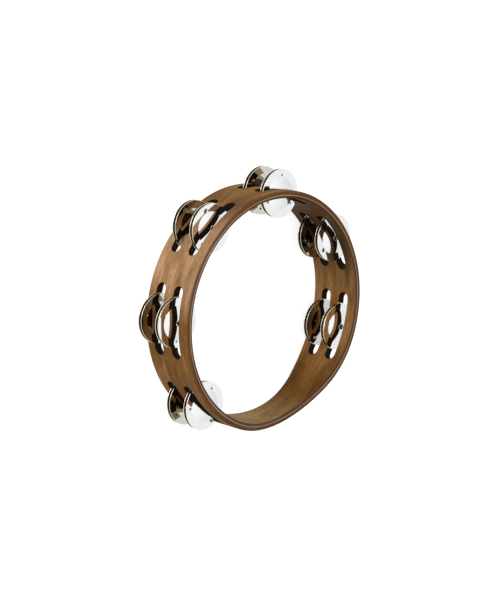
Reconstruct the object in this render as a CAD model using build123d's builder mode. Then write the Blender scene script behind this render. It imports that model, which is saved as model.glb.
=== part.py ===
from build123d import *
import math
import os

# Headless tambourine lying flat: a laminated wooden hoop with a scooped hand grip,
# two rows of jingle slots, and a loose pair of domed jingles on a nail in each slot.
# +Z is the hoop's axis and -Y is the side with the grip.

# hoop
hoop_diameter = 254.0
hoop_height = 61.6
inner_ply_thickness = 2.5
core_ply_thickness = 1.2
outer_ply_thickness = 4.4
outer_edge_rounding = 2.4
inner_edge_rounding = 1.8

# hand grip, scooped out of both rims
grip_half_length = 105.0
grip_scoop_depth = 10.4

# jingle slots
position_count = 6
position_spacing = 48.9
slot_length = 74.6
slot_width = 12.8
slot_row_offset = 12.7

# jingles
jingle_diameter = 51.2
jingle_thickness = 0.6
dome_diameter = 35.0
dome_height = 2.5
dome_bend_radius = 2.5
centre_hole_diameter = 6.2
vent_hole_diameter = 2.2
vent_hole_circle_radius = 19.1
rest_gap = 0.3
pair_height = 3.8

# nails that carry the jingles
nail_radius_from_axis = 121.6
nail_diameter = 2.3
nail_head_diameter = 3.8
nail_head_thickness = 0.9
nail_head_recess = 0.3
nail_top_height = 55.0

hoop_radius = hoop_diameter / 2
core_outer_radius = hoop_radius - outer_ply_thickness
core_inner_radius = core_outer_radius - core_ply_thickness
hoop_inner_radius = core_inner_radius - inner_ply_thickness
mid_height = hoop_height / 2
jingle_radius = jingle_diameter / 2
position_angles = [90 + position_spacing * (i - (position_count - 1) / 2) for i in range(position_count)]
row_heights = {"lower_row": mid_height - slot_row_offset, "upper_row": mid_height + slot_row_offset}

# The origin is under the middle of the whole outline, jingles included.
back_reach = nail_radius_from_axis * max(math.sin(math.radians(a)) for a in position_angles) + jingle_radius
hoop_centre_y = (hoop_radius - back_reach) / 2


def nail_point(angle):
    along = math.radians(angle)
    return (nail_radius_from_axis * math.cos(along), hoop_centre_y + nail_radius_from_axis * math.sin(along))


def radial_plane(angle, height, distance):
    """Plane facing out from the hoop's axis, with its X along the hoop's length."""
    along = math.radians(angle)
    outward = (math.cos(along), math.sin(along), 0)
    tangent = (-math.sin(along), math.cos(along), 0)
    origin = (distance * outward[0], hoop_centre_y + distance * outward[1], height)
    return Plane(origin=origin, x_dir=tangent, z_dir=outward)


def cut_grip_scoops():
    """Takes a shallow S-sided scoop out of both rims on the grip side."""
    arc_radius = (grip_half_length**2 + grip_scoop_depth**2) / (4 * grip_scoop_depth)
    half_turn = math.asin(grip_half_length / 2 / arc_radius) / 2
    side = arc_radius * math.sin(half_turn)
    drop = arc_radius * (1 - math.cos(half_turn))
    for direction in (1, -1):
        rim = mid_height + direction * mid_height
        inflection = rim - direction * grip_scoop_depth / 2
        bottom = rim - direction * grip_scoop_depth
        clear = rim + direction * 5
        with BuildSketch(Plane.XZ.offset(-hoop_centre_y)) as scoop:
            with BuildLine():
                ThreePointArc(
                    (-grip_half_length, rim),
                    (side - grip_half_length, rim - direction * drop),
                    (-grip_half_length / 2, inflection),
                )
                ThreePointArc(
                    (-grip_half_length / 2, inflection), (0, bottom), (grip_half_length / 2, inflection)
                )
                ThreePointArc(
                    (grip_half_length / 2, inflection),
                    (grip_half_length - side, rim - direction * drop),
                    (grip_half_length, rim),
                )
                Polyline(
                    (grip_half_length, rim),
                    (grip_half_length, clear),
                    (-grip_half_length, clear),
                    (-grip_half_length, rim),
                )
            make_face()
        extrude(scoop.sketch, amount=hoop_radius + 5, mode=Mode.SUBTRACT)


def cut_slots_and_nail_holes():
    for angle in position_angles:
        for height in row_heights.values():
            with BuildSketch(radial_plane(angle, height, hoop_inner_radius - 10)) as slot:
                SlotOverall(slot_length, slot_width)
            extrude(slot.sketch, amount=30, mode=Mode.SUBTRACT)
        with BuildSketch() as head_recess:
            with Locations(nail_point(angle)):
                Circle(nail_head_diameter / 2)
        extrude(head_recess.sketch, amount=nail_head_recess + nail_head_thickness, mode=Mode.SUBTRACT)
        with BuildSketch() as shank_hole:
            with Locations(nail_point(angle)):
                Circle(nail_diameter / 2)
        extrude(shank_hole.sketch, amount=nail_top_height, mode=Mode.SUBTRACT)


def build_ply(label, inner_radius, outer_radius, outer_rounding, inner_rounding):
    with BuildPart() as ply:
        with BuildSketch():
            with Locations((0, hoop_centre_y)):
                Circle(outer_radius)
                Circle(inner_radius, mode=Mode.SUBTRACT)
        extrude(amount=hoop_height)
        cut_grip_scoops()
        if outer_rounding:
            rim_edges = [e for e in ply.edges() if edge_on_radius(e, outer_radius)]
            fillet(rim_edges, outer_rounding)
        if inner_rounding:
            rim_edges = [e for e in ply.edges() if edge_on_radius(e, inner_radius)]
            fillet(rim_edges, inner_rounding)
        cut_slots_and_nail_holes()
    ply.part.label = label
    export_step(ply.part, f"parts/{label}.step")
    return ply.part


def edge_on_radius(edge, radius):
    """True for the rim edges of a ply's inner or outer face, not for its seam."""
    points = [edge.position_at(t) for t in (0, 0.3, 0.7, 1)]
    on_wall = all(abs(math.hypot(p.X, p.Y - hoop_centre_y) - radius) < 0.01 for p in points)
    along_rim = math.hypot(points[1].X - points[2].X, points[1].Y - points[2].Y) > 0.5
    return on_wall and along_rim


def build_nail(label, angle):
    with BuildPart() as nail:
        with BuildSketch(Plane.XY.offset(nail_head_recess)):
            with Locations(nail_point(angle)):
                Circle(nail_head_diameter / 2)
        extrude(amount=nail_head_thickness)
        with BuildSketch(Plane.XY.offset(nail_head_recess + nail_head_thickness)):
            with Locations(nail_point(angle)):
                Circle(nail_diameter / 2)
        extrude(amount=nail_top_height - nail_head_recess - nail_head_thickness)
    nail.part.label = label
    export_step(nail.part, f"parts/{label}.step")
    return nail.part


def build_jingle_blank():
    """One jingle at the origin, dome up: a flat flange around a shallow spherical dome."""
    dome_radius = dome_diameter / 2
    hole_radius = centre_hole_diameter / 2
    sphere_radius = (dome_radius**2 + dome_height**2) / (2 * dome_height)

    def rise(radius):
        return math.sqrt(sphere_radius**2 - radius**2) - (sphere_radius - dome_height)

    half_way = (hole_radius + dome_radius) / 2
    with BuildPart() as blank:
        with BuildSketch(Plane.XZ) as section:
            with BuildLine():
                ThreePointArc((hole_radius, rise(hole_radius)), (half_way, rise(half_way)), (dome_radius, 0))
                Polyline(
                    (dome_radius, 0),
                    (jingle_radius, 0),
                    (jingle_radius, jingle_thickness),
                    (dome_radius, jingle_thickness),
                )
                ThreePointArc(
                    (dome_radius, jingle_thickness),
                    (half_way, rise(half_way) + jingle_thickness),
                    (hole_radius, rise(hole_radius) + jingle_thickness),
                )
                Line((hole_radius, rise(hole_radius) + jingle_thickness), (hole_radius, rise(hole_radius)))
            make_face()
            bends = [v for v in section.vertices() if abs(v.X - dome_radius) < 0.01]
            fillet(bends, dome_bend_radius)
        revolve(axis=Axis.Z)
        with BuildSketch(Plane.XY):
            with PolarLocations(vent_hole_circle_radius, 3):
                Circle(vent_hole_diameter / 2)
        extrude(amount=jingle_thickness * 2, mode=Mode.SUBTRACT)
    return blank.part


def build_jingle(label, blank, angle, height, turn):
    side = math.radians(turn)
    with BuildPart() as jingle:
        with Locations(Plane(origin=(*nail_point(angle), height), x_dir=(math.cos(side), math.sin(side), 0))):
            add(blank)
    jingle.part.label = label
    export_step(jingle.part, f"parts/{label}.step")
    return jingle.part


os.makedirs("parts", exist_ok=True)

build_ply("inner_ply", hoop_inner_radius, core_inner_radius, 0, inner_edge_rounding)
build_ply("core_ply", core_inner_radius, core_outer_radius, 0, 0)
build_ply("outer_ply", core_outer_radius, hoop_radius, outer_edge_rounding, 0)

for number, angle in enumerate(position_angles, 1):
    build_nail(f"nail_{number}", angle)

# Both jingles of a pair have their dome up: the bottom one lies on the slot's lower side
# and the top one is held a little above it. Each is turned differently, as loose jingles
# come to rest.
blank = build_jingle_blank()
bottom_turn_offset = 52.0
top_turns = {"lower_row": (99, 60, 5, 110, 27, 80), "upper_row": (19, 84, 68, 95, 13, 45)}
for row, row_height in row_heights.items():
    low = row_height - slot_width / 2 + rest_gap
    for number, (angle, turn) in enumerate(zip(position_angles, top_turns[row]), 1):
        build_jingle(f"{row}_{number}_bottom_jingle", blank, angle, low, turn + bottom_turn_offset)
        build_jingle(f"{row}_{number}_top_jingle", blank, angle, low + pair_height, turn)

crown_rise = blank.bounding_box().max.Z
print("wall thickness", round(hoop_radius - hoop_inner_radius, 2))
print("hoop centre y", round(hoop_centre_y, 3))
print("crown rise", round(crown_rise, 3))
print("travel down", round(pair_height - jingle_thickness - rest_gap, 3))
print("travel up", round(slot_width - 2 * rest_gap - pair_height - crown_rise, 3))
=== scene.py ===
import math

import bmesh
import bpy
from mathutils import Matrix, Quaternion, Vector


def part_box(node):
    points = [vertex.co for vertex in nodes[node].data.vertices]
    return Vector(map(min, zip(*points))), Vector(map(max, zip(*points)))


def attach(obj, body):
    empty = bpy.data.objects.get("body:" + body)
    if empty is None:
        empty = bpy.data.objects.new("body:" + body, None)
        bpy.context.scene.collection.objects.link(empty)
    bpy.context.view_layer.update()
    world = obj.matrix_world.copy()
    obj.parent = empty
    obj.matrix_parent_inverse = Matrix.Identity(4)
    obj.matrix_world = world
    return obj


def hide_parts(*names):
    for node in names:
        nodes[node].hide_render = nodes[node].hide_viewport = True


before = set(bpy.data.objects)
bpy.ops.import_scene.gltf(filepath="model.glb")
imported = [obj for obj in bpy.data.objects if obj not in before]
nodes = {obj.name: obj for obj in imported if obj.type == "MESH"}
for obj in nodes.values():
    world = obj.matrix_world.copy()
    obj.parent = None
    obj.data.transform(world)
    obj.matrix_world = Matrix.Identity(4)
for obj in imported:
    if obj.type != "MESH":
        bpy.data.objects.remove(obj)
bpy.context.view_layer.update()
scene = bpy.context.scene
MM = 0.001

# ---------------------------------------------------------------- sizes read from the frame
hoop_low, hoop_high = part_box("outer_ply")
HOOP_Y = (hoop_low[1] + hoop_high[1]) / 2
HOOP_RADIUS = (hoop_high[0] - hoop_low[0]) / 2
MID_HEIGHT = (hoop_low[2] + hoop_high[2]) / 2
SLOT_REACH = 19.9 * MM  # how far the two slot rows reach from mid-height

# jingle section, matching the CAD
JINGLE_RADIUS = 25.6 * MM
SHEET = 0.6 * MM
DOME_RADIUS = 17.5 * MM
DOME_HEIGHT = 2.5 * MM
BEND_RADIUS = 2.5 * MM
HOLE_RADIUS = 3.1 * MM
VENT_RADIUS = 1.1 * MM
VENT_CIRCLE = 19.1 * MM
VENT_REACH = 1.3 * MM  # a CAD vertex this near the vent circle belongs to a vent hole
VENT_LIP = 0.4 * MM  # rounding of a vent hole's upper edge


# ---------------------------------------------------------------- camera
CAMERA_AT = Vector((-1.13977, HOOP_Y + 0.73553, 1.34270))
CAMERA_AIM = Vector((-0.00206, HOOP_Y + 0.00816, 0.02452))
CAMERA_ROLL = math.radians(103.606)
LENS_LENGTH = 108.19  # in millimetres, on a 36 mm sensor
SENSOR_WIDTH = 36
NEAREST_SEEN = 0.05
camera_data = bpy.data.cameras.new("camera")
camera_data.lens = LENS_LENGTH
camera_data.sensor_width = SENSOR_WIDTH
camera_data.clip_start = NEAREST_SEEN
camera = bpy.data.objects.new("camera", camera_data)
scene.collection.objects.link(camera)
camera.location = CAMERA_AT
camera.rotation_mode = "QUATERNION"
look = (CAMERA_AIM - CAMERA_AT).to_track_quat("-Z", "Y")
camera.rotation_quaternion = look @ Quaternion((0, 0, 1), CAMERA_ROLL)
scene.camera = camera
scene.view_settings.view_transform = "Standard"


# ---------------------------------------------------------------- node helpers
class Nodes:
    """Short calls for building one material's node tree."""

    def __init__(self, tree):
        self.tree = tree

    def new(self, kind, inputs=None, **settings):
        node = self.tree.nodes.new(kind)
        for name, value in settings.items():
            setattr(node, name, value)
        for name, value in (inputs or {}).items():
            if isinstance(value, bpy.types.NodeSocket):
                self.tree.links.new(value, node.inputs[name])
            else:
                node.inputs[name].default_value = value
        return node

    def math(self, operation, a, b=0.0, c=0.0, clamp=False):
        node = self.new("ShaderNodeMath", {0: a, 1: b, 2: c}, operation=operation, use_clamp=clamp)
        return node.outputs[0]

    def ramp(self, value, stops, interpolation="LINEAR"):
        node = self.new("ShaderNodeValToRGB", {0: value})
        ramp = node.color_ramp
        ramp.interpolation = interpolation
        while len(ramp.elements) < len(stops):
            ramp.elements.new(0.5)
        for element, (position, color) in zip(ramp.elements, stops):
            element.position = position
            element.color = (*color, 1)
        return node.outputs[0]

    def mix(self, factor, a, b, blend="MIX"):
        node = self.new("ShaderNodeMix", data_type="RGBA", blend_type=blend)
        for index, value in ((0, factor), (6, a), (7, b)):
            if isinstance(value, bpy.types.NodeSocket):
                self.tree.links.new(value, node.inputs[index])
            elif index == 0:
                node.inputs[index].default_value = value
            else:
                node.inputs[index].default_value = (*value, 1)
        return node.outputs[2]

    def noise(self, vector, w=None, scale=1.0, detail=3.0, roughness=0.5, distortion=0.0):
        """Fractal noise; w picks one of many separate patterns."""
        inputs = {"Vector": vector, "Scale": scale, "Detail": detail, "Roughness": roughness}
        inputs["Distortion"] = distortion
        node = self.new("ShaderNodeTexNoise", inputs, noise_dimensions="4D" if w is not None else "3D")
        if w is not None:
            node.inputs["W"].default_value = w
        return node.outputs[0]

    def spread(self, value, low, high, at_low, at_high):
        """A number that goes from at_low to at_high while the value goes from low to high."""
        return self.new("ShaderNodeMapRange", {0: value, 1: low, 2: high, 3: at_low, 4: at_high}).outputs[0]

    def point(self, x, y=0.0, z=0.0):
        return self.new("ShaderNodeCombineXYZ", {0: x, 1: y, 2: z}).outputs[0]

    def split(self, vector):
        """The x, y and z of a vector."""
        return self.new("ShaderNodeSeparateXYZ", {0: vector}).outputs

    def hypotenuse(self, x, y):
        return self.math("SQRT", self.math("ADD", self.math("MULTIPLY", x, x), self.math("MULTIPLY", y, y)))

    def object_point(self):
        return self.new("ShaderNodeTexCoord").outputs["Object"]

    def along_normal(self, kind):
        return self.split(self.new("ShaderNodeNewGeometry").outputs[kind])

    def scaled(self, vector, scale):
        return self.new("ShaderNodeMapping", {"Vector": vector, "Scale": (scale, scale, scale)}).outputs[0]


def new_material(name):
    material = bpy.data.materials.new(name)
    material.use_nodes = True
    tree = material.node_tree
    shader = tree.nodes["Principled BSDF"]
    return material, Nodes(tree), shader


def hoop_coordinates(n):
    """Cosine and sine round the hoop's axis, distance from it and height, all seamless."""
    x, y, z = n.split(n.object_point())
    y = n.math("SUBTRACT", y, HOOP_Y)
    distance = n.hypotenuse(x, y)
    return n.math("DIVIDE", x, distance), n.math("DIVIDE", y, distance), distance, z


def stretched(n, cosine, sine, z, along, across):
    """Noise coordinates whose features are along metres long round the hoop and across metres high."""
    turn = HOOP_RADIUS / along
    return n.point(
        n.math("MULTIPLY", cosine, turn), n.math("MULTIPLY", sine, turn), n.math("MULTIPLY", z, 1 / across)
    )


# ---------------------------------------------------------------- wood
# noise features as (length round the hoop, height, share of the tone)
BROAD_GRAIN = (60 * MM, 14 * MM, 0.42)
STREAK_GRAIN = (28 * MM, 2.8 * MM, 0.24)
FINE_GRAIN = (7 * MM, 1.2 * MM, 0.34)
RIM_RING_WIDTH = 0.8 * MM
RIM_RING_TURN = 3.2  # how fast the rim's rings change round the hoop
WOOD_ROUGHNESS = (0.42, 0.58)
SLOT_ROUGHNESS = 0.9
WOOD_SPECULAR = 0.03
GRAIN_RELIEF = 0.05 * MM


def wood_material(name, face_stops, rim_stops, seed, painted_light, edge_facing, painted_top_shade):
    """Varnished wood whose grain runs round the hoop, with lobes of painted sheen and shade round it and
    painted shade that dims it towards the upper rim.
    """
    material, n, shader = new_material(name)
    cosine, sine, distance, z = hoop_coordinates(n)

    def grain(kind, pattern, **settings):
        return n.noise(stretched(n, cosine, sine, z, kind[0], kind[1]), pattern, **settings)

    broad = grain(BROAD_GRAIN, seed, detail=2, roughness=0.5, distortion=0.6)
    streak = grain(STREAK_GRAIN, seed + 7, detail=4, roughness=0.6)
    fine = grain(FINE_GRAIN, seed + 13, detail=4, roughness=0.7)
    tone = n.math("ADD", n.math("MULTIPLY", broad, BROAD_GRAIN[2]), n.math("MULTIPLY", streak, STREAK_GRAIN[2]))
    tone = n.math("ADD", tone, n.math("MULTIPLY", fine, FINE_GRAIN[2]))
    face = n.ramp(tone, face_stops)

    # ply edges at the two rims: grain runs round the rim in thin rings
    depth = n.math("MULTIPLY", distance, 1 / RIM_RING_WIDTH)
    across, along = (n.math("MULTIPLY", part, RIM_RING_TURN) for part in (cosine, sine))
    ring_way = n.point(across, along, depth)
    rings = n.noise(ring_way, seed + 3, detail=3, roughness=0.6)
    rim = n.ramp(rings, rim_stops)

    # which way the surface faces decides between ply face, rim edge and slot wall
    normal = n.along_normal("Normal")
    facing = n.math(
        "ABSOLUTE",
        n.math("ADD", n.math("MULTIPLY", normal[0], cosine), n.math("MULTIPLY", normal[1], sine)),
    )
    edge = n.spread(facing, edge_facing[0], edge_facing[1], 1.0, 0.0)
    from_middle = n.math("ABSOLUTE", n.math("SUBTRACT", z, MID_HEIGHT))
    in_slot_rows = n.math("LESS_THAN", from_middle, SLOT_REACH)
    slot_wall = n.math("MULTIPLY", edge, in_slot_rows)
    color = n.mix(edge, face, rim)
    # painted sheen and shade: each lobe multiplies the colour on one side of the hoop
    for azimuth, half_width, gain in painted_light:
        side = math.radians(azimuth)
        toward = n.math(
            "ADD", n.math("MULTIPLY", cosine, math.cos(side)), n.math("MULTIPLY", sine, math.sin(side))
        )
        lobe = n.spread(toward, math.cos(math.radians(half_width)), 1.0, 0.0, 1.0)
        share = n.math("SUBTRACT", 1.0, n.math("MULTIPLY", edge, RIM_PAINTED_LIGHT_LOSS))
        color = n.mix(n.math("MULTIPLY", lobe, share), color, gain, blend="MULTIPLY")
    # painted shade: the colour gets darker towards the upper rim
    if painted_top_shade < 1:
        upward = n.spread(z, 0.0, 2 * MID_HEIGHT, 0.0, 1.0)
        color = n.mix(upward, color, (painted_top_shade, painted_top_shade, painted_top_shade), blend="MULTIPLY")
    color = n.mix(slot_wall, color, SLOT_WALL)
    n.tree.links.new(color, shader.inputs["Base Color"])
    rough = n.spread(streak, 0.25, 0.75, *WOOD_ROUGHNESS)
    rough = n.math("MAXIMUM", rough, n.math("MULTIPLY", slot_wall, SLOT_ROUGHNESS))
    n.tree.links.new(rough, shader.inputs["Roughness"])
    shader.inputs["Specular IOR Level"].default_value = WOOD_SPECULAR
    bump = n.new("ShaderNodeBump", {"Strength": 0.35, "Distance": GRAIN_RELIEF, "Height": tone})
    n.tree.links.new(bump.outputs[0], shader.inputs["Normal"])
    return material


# colour stops as (tone, colour)
OUTER_FACE = [(0.34, (0.042, 0.0165, 0.0036)), (0.50, (0.120, 0.0520, 0.0112)), (0.66, (0.222, 0.108, 0.029))]
INNER_FACE = [(0.34, (0.046, 0.0170, 0.0026)), (0.50, (0.126, 0.0500, 0.0080)), (0.66, (0.225, 0.098, 0.020))]
OUTER_RIM = [(0.36, (0.060, 0.030, 0.0155)), (0.64, (0.122, 0.063, 0.034))]
CORE_RIM = [(0.36, (0.220, 0.105, 0.036)), (0.64, (0.400, 0.210, 0.085))]
INNER_RIM = [(0.36, (0.058, 0.031, 0.019)), (0.64, (0.105, 0.058, 0.036))]
SLOT_WALL = (0.018, 0.010, 0.007)
# the rim edges and slot walls get only part of the painted sheen and shade
RIM_PAINTED_LIGHT_LOSS = 0.8  # share of a sheen that the rim edges and slot walls go without

# how far a surface turns from facing the axis before it counts as an edge, as (fully edge, fully face)
ROUNDED_EDGE = (0.25, 0.8)
SHARP_EDGE = (0.72, 0.97)
# painted shade on the inner ply, darkest at the upper rim
INSIDE_PAINTED_TOP_SHADE = 0.76

# painted sheen and shade round the hoop: azimuth, half width and colour gain; a gain above 1 paints sheen on
# the varnish, below 1 paints shade
OUTER_PAINTED_LIGHT = [(131, 32, (2.1, 2.65, 5.7)), (77, 16, (1.45, 1.6, 1.6)), (190, 24, (1.15, 1.2, 1.35))]
INNER_PAINTED_LIGHT = [(338, 42, (1.75, 2.1, 3.6)), (248, 38, (2.0, 3.0, 6.0)), (30, 50, (0.55, 0.65, 0.9))]

materials = {
    "outer_ply": wood_material("walnut_outer", OUTER_FACE, OUTER_RIM, 0.0, OUTER_PAINTED_LIGHT, ROUNDED_EDGE, 1),
    "core_ply": wood_material("core_wood", CORE_RIM, CORE_RIM, 31.0, OUTER_PAINTED_LIGHT, ROUNDED_EDGE, 1),
    "inner_ply": wood_material(
        "walnut_inner", INNER_FACE, INNER_RIM, 57.0, INNER_PAINTED_LIGHT, SHARP_EDGE, INSIDE_PAINTED_TOP_SHADE
    ),
}


def dress(node, material):
    """Gives a CAD node its material in every slot."""
    mesh = node.data
    if not mesh.materials:
        mesh.materials.append(material)
    for index in range(len(mesh.materials)):
        mesh.materials[index] = material


for node_name, material in materials.items():
    dress(nodes[node_name], material)


# ---------------------------------------------------------------- metals
TARNISH_TINT = (0.90, 0.88, 0.84)
RIM_TINT = (0.90, 0.83, 0.64)
RIM_TINT_RADII = (24.9 * MM, 25.4 * MM)
# painted reflections on the jingles' undersides: dark brown under the dome, beige under the flange
UNDER_DOME_PAINTED_REFLECTION = (0.10, 0.072, 0.045)
UNDER_FLANGE_PAINTED_REFLECTION = (0.36, 0.30, 0.18)
UNDER_FLANGE_RADII = (17.0 * MM, 18.5 * MM)
UNDER_FLANGE_ROUGHNESS = 0.5
TARNISH_SCALE = 90
TURNED_RELIEF = 0.01 * MM


def metal_material(name, color, roughness, ring_size, bump_strength, two_sided=False):
    """Polished metal with faint turned rings about its own Z axis; two_sided adds a painted dark reflection on
    its underside and a yellowish tint at its rim.
    """
    material, n, shader = new_material(name)
    where = n.object_point()
    x, y, _ = n.split(where)
    distance = n.hypotenuse(x, y)
    rings = n.noise(n.point(n.math("MULTIPLY", distance, 1 / ring_size)), detail=4)
    patches = n.noise(n.scaled(where, TARNISH_SCALE), detail=4)
    tarnish = n.spread(patches, 0.45, 0.75, 0.0, 0.35)
    shade = n.mix(tarnish, color, tuple(c * k for c, k in zip(color, TARNISH_TINT)))
    rough = n.spread(patches, 0.3, 0.8, roughness, roughness * 2.2)
    if two_sided:
        # painted reflection: faces turned downwards get the dark dome and beige flange colours
        under = n.spread(n.along_normal("True Normal")[2], -0.5, 0.1, 1.0, 0.0)
        flange = n.spread(distance, *UNDER_FLANGE_RADII, 0.0, 1.0)
        shade = n.mix(under, shade, n.mix(flange, UNDER_DOME_PAINTED_REFLECTION, UNDER_FLANGE_PAINTED_REFLECTION))
        at_rim = n.spread(distance, *RIM_TINT_RADII, 0.0, 0.8)
        shade = n.mix(at_rim, shade, RIM_TINT)
        dull = n.math("MULTIPLY", n.math("MULTIPLY", under, flange), UNDER_FLANGE_ROUGHNESS)
        rough = n.math("MAXIMUM", rough, dull)
    n.tree.links.new(shade, shader.inputs["Base Color"])
    shader.inputs["Metallic"].default_value = 1.0
    n.tree.links.new(rough, shader.inputs["Roughness"])
    bump = n.new("ShaderNodeBump", {"Strength": bump_strength, "Distance": TURNED_RELIEF, "Height": rings})
    n.tree.links.new(bump.outputs[0], shader.inputs["Normal"])
    return material


# both rows are the same metal; the lower row's darker colour is painted shade
jingle_metals = {
    "upper_row": metal_material("jingle_metal", (0.89, 0.89, 0.895), 0.025, 0.9 * MM, 0.03, two_sided=True),
    "lower_row": metal_material("painted_shade_jingle_metal", (0.66, 0.64, 0.60), 0.035, 0.9 * MM, 0.03, two_sided=True),
}
# steel nails; their dark colour paints the shade inside the jingles' centre holes
painted_shade_nail_metal = metal_material("painted_shade_nail_metal", (0.30, 0.28, 0.25), 0.22, 0.3 * MM, 0.2)


# ---------------------------------------------------------------- jingles
DOME_STEPS = 22
BEND_STEPS = 8
HOLE_LIP_STEPS = 5
HOLE_LIP_BULGE = 0.6  # 1 would make the centre hole's edge fully round
RIM_STEPS = 10
VENT_LIP_STEPS = 4
ROUND_SEGMENTS = 144
VENT_SEGMENTS = 28
VENT_COUNT = 3
FLAT_LEAD_IN = 0.05 * MM  # narrow flat strips that keep the shading smooth beside the bend and the rim
RIM_LEAD_IN = 0.15 * MM


def jingle_section():
    """Mid-sheet line of the dome and bend as (radius, height, slope angle), from the hole outwards."""
    sphere = (DOME_RADIUS**2 + DOME_HEIGHT**2) / (2 * DOME_HEIGHT)
    edge_slope = math.asin(DOME_RADIUS / sphere)
    tangent = BEND_RADIUS * math.tan(edge_slope / 2)
    bend_start_slope = math.asin((DOME_RADIUS - tangent * math.cos(edge_slope)) / sphere)
    hole_slope = math.asin(HOLE_RADIUS / sphere)
    points = []
    for i in range(DOME_STEPS + 1):
        slope = hole_slope + (bend_start_slope - hole_slope) * i / DOME_STEPS
        height = sphere * math.cos(slope) - (sphere - DOME_HEIGHT)
        points.append((sphere * math.sin(slope), height, slope))
    end_radius, end_height, end_slope = points[-1]
    bend = end_height / (1 - math.cos(end_slope))
    for i in range(1, BEND_STEPS + 1):
        slope = end_slope * (1 - i / BEND_STEPS)
        radius = end_radius + bend * (math.sin(end_slope) - math.sin(slope))
        height = bend * (1 - math.cos(slope))
        points.append((radius, height, slope))
    return points


def build_jingle_mesh(name):
    """A pressed jingle, dome up, with its flange's underside at z = 0 and three vent holes."""
    half = SHEET / 2
    section = jingle_section()
    flat_start = section[-1][0] + FLAT_LEAD_IN
    rim_start = JINGLE_RADIUS - half
    upper = [(r + half * math.sin(s), z + half + half * math.cos(s)) for r, z, s in section]
    lower = [(r - half * math.sin(s), z + half - half * math.cos(s)) for r, z, s in section]
    hole_r, hole_z, _ = section[0]
    lip = []
    for i in range(1, HOLE_LIP_STEPS):
        angle = math.pi * i / HOLE_LIP_STEPS
        out = -half * math.sin(angle)
        up = half * math.cos(angle)
        lip.append((hole_r + out * HOLE_LIP_BULGE, hole_z + half + up))
    rim = []
    for i in range(RIM_STEPS + 1):
        angle = math.pi / 2 - math.pi * i / RIM_STEPS
        rim.append((rim_start + half * math.cos(angle), half + half * math.sin(angle)))
    bm = bmesh.new()

    def ring(radius, height, count=ROUND_SEGMENTS, centre=(0, 0)):
        return [
            bm.verts.new(
                (
                    centre[0] + radius * math.cos(2 * math.pi * k / count),
                    centre[1] + radius * math.sin(2 * math.pi * k / count),
                    height,
                )
            )
            for k in range(count)
        ]

    def band(first, second):
        count = len(first)
        for k in range(count):
            bm.faces.new((first[k], first[(k + 1) % count], second[(k + 1) % count], second[k]))

    def chain(points):
        rings = [ring(r, z) for r, z in points]
        for first, second in zip(rings, rings[1:]):
            band(first, second)
        return rings[0], rings[-1]

    inner_line = [(flat_start, 0.0)] + lower[::-1] + lip[::-1] + upper + [(flat_start, SHEET)]
    low_inner, top_inner = chain(inner_line)
    rim_line = [(rim_start - RIM_LEAD_IN, SHEET)] + rim + [(rim_start - RIM_LEAD_IN, 0.0)]
    top_outer, low_outer = chain(rim_line)
    vents = []
    for k in range(VENT_COUNT):
        angle = 2 * math.pi * k / VENT_COUNT
        centre = (VENT_CIRCLE * math.cos(angle), VENT_CIRCLE * math.sin(angle))
        low = ring(VENT_RADIUS, 0.0, VENT_SEGMENTS, centre)
        below = low
        for i in range(VENT_LIP_STEPS + 1):
            lean = math.pi / 2 * i / VENT_LIP_STEPS
            out = VENT_RADIUS + VENT_LIP * (1 - math.cos(lean))
            top = ring(out, SHEET - VENT_LIP * (1 - math.sin(lean)), VENT_SEGMENTS, centre)
            band(below, top)
            below = top
        vents.append((top, low))
    for inner, outer, side in ((top_inner, top_outer, 0), (low_inner, low_outer, 1)):
        edges = []
        for loop in [inner, outer] + [vent[side] for vent in vents]:
            for k in range(len(loop)):
                edges.append(bm.edges.get((loop[k], loop[(k + 1) % len(loop)])))
        bmesh.ops.triangle_fill(bm, use_beauty=True, use_dissolve=False, edges=edges)
    bmesh.ops.recalc_face_normals(bm, faces=bm.faces)
    mesh = bpy.data.meshes.new(name)
    bm.to_mesh(mesh)
    bm.free()
    mesh.shade_smooth()
    mesh.set_sharp_from_angle(angle=math.radians(40))
    return mesh


def vent_turn(node, centre):
    """The turn of a CAD jingle about its nail, read from where its three vent holes are."""
    total = 0j
    for vertex in node.data.vertices:
        x, y = vertex.co.x - centre[0], vertex.co.y - centre[1]
        distance = math.hypot(x, y)
        if abs(distance - VENT_CIRCLE) < VENT_REACH:
            angle = VENT_COUNT * math.atan2(y, x)
            total += complex(math.cos(angle), math.sin(angle))
    return math.atan2(total.imag, total.real) / VENT_COUNT


jingle_sheet = build_jingle_mesh("jingle_sheet")
for node_name in sorted(nodes):
    if not node_name.endswith("_jingle"):
        continue
    low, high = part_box(node_name)
    centre = ((low[0] + high[0]) / 2, (low[1] + high[1]) / 2)
    row = node_name[: len("upper_row")]
    mesh = jingle_sheet.copy()
    mesh.name = node_name.replace("_jingle", "_sheet")
    mesh.materials.append(jingle_metals[row])
    mesh.transform(Matrix.Rotation(vent_turn(nodes[node_name], centre), 4, "Z"))
    piece = bpy.data.objects.new(node_name.replace("_jingle", "_pressed_jingle"), mesh)
    scene.collection.objects.link(piece)
    piece.matrix_world = Matrix.Translation((*centre, low[2]))
    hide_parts(node_name)
    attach(piece, node_name)
bpy.data.meshes.remove(jingle_sheet)

for node_name in nodes:
    if node_name.startswith("nail_"):
        dress(nodes[node_name], painted_shade_nail_metal)


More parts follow.
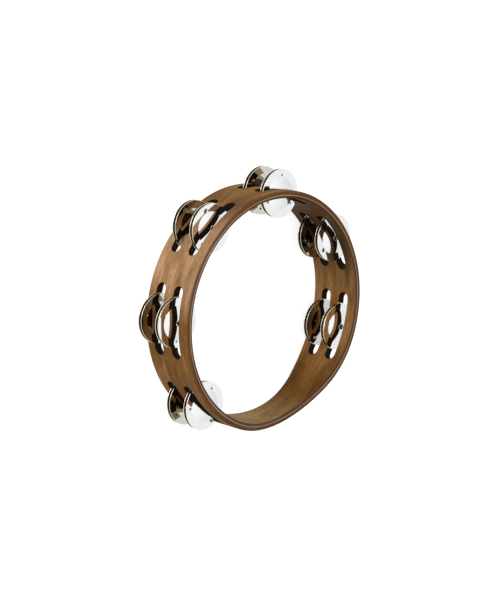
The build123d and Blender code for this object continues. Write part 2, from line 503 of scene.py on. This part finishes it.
# ---------------------------------------------------------------- floor and light
FLOOR_HALF_SIZE = 6.0
FLOOR_STOPS = [(0.3, (0.44, 0.44, 0.44)), (0.7, (0.46, 0.46, 0.46))]
FLOOR_GLOW = 0.8
SKY_TINT = (0.985, 0.995, 1.0, 1)


def build_floor():
    bm = bmesh.new()
    bmesh.ops.create_grid(bm, x_segments=8, y_segments=8, size=FLOOR_HALF_SIZE)
    mesh = bpy.data.meshes.new("floor")
    bm.to_mesh(mesh)
    bm.free()
    floor = bpy.data.objects.new("floor", mesh)
    scene.collection.objects.link(floor)
    material, n, shader = new_material("pale_floor")
    mottle = n.noise(n.scaled(n.object_point(), 3), detail=2)
    n.tree.links.new(n.ramp(mottle, FLOOR_STOPS), shader.inputs["Base Color"])
    shader.inputs["Roughness"].default_value = 0.9
    shader.inputs["Specular IOR Level"].default_value = 0.1
    shader.inputs["Emission Color"].default_value = (1, 1, 1, 1)
    shader.inputs["Emission Strength"].default_value = FLOOR_GLOW
    mesh.materials.append(material)


def add_area_light(name, azimuth, elevation, distance, size, power):
    """A square soft light that faces the object from that direction."""
    a, e = math.radians(azimuth), math.radians(elevation)
    data = bpy.data.lights.new(name, "AREA")
    data.shape = "SQUARE"
    data.size = size
    data.energy = power
    light = bpy.data.objects.new(name, data)
    direction = Vector((math.cos(e) * math.cos(a), math.cos(e) * math.sin(a), math.sin(e)))
    light.location = Vector((0, 0, MID_HEIGHT)) + direction * distance
    light.rotation_mode = "QUATERNION"
    light.rotation_quaternion = (-direction).to_track_quat("-Z", "Y")
    scene.collection.objects.link(light)


def build_sky():
    """Even studio light that is a little stronger from above."""
    world = bpy.data.worlds.new("studio")
    scene.world = world
    world.use_nodes = True
    n = Nodes(world.node_tree)
    height = n.split(n.new("ShaderNodeTexCoord").outputs["Generated"])[2]
    background = world.node_tree.nodes["Background"]
    n.tree.links.new(n.spread(height, 0.5, 0.92, 0.86, 1.08), background.inputs["Strength"])
    background.inputs["Color"].default_value = SKY_TINT


build_floor()
build_sky()
add_area_light("key_light", azimuth=135, elevation=14, distance=1.6, size=1.0, power=14)
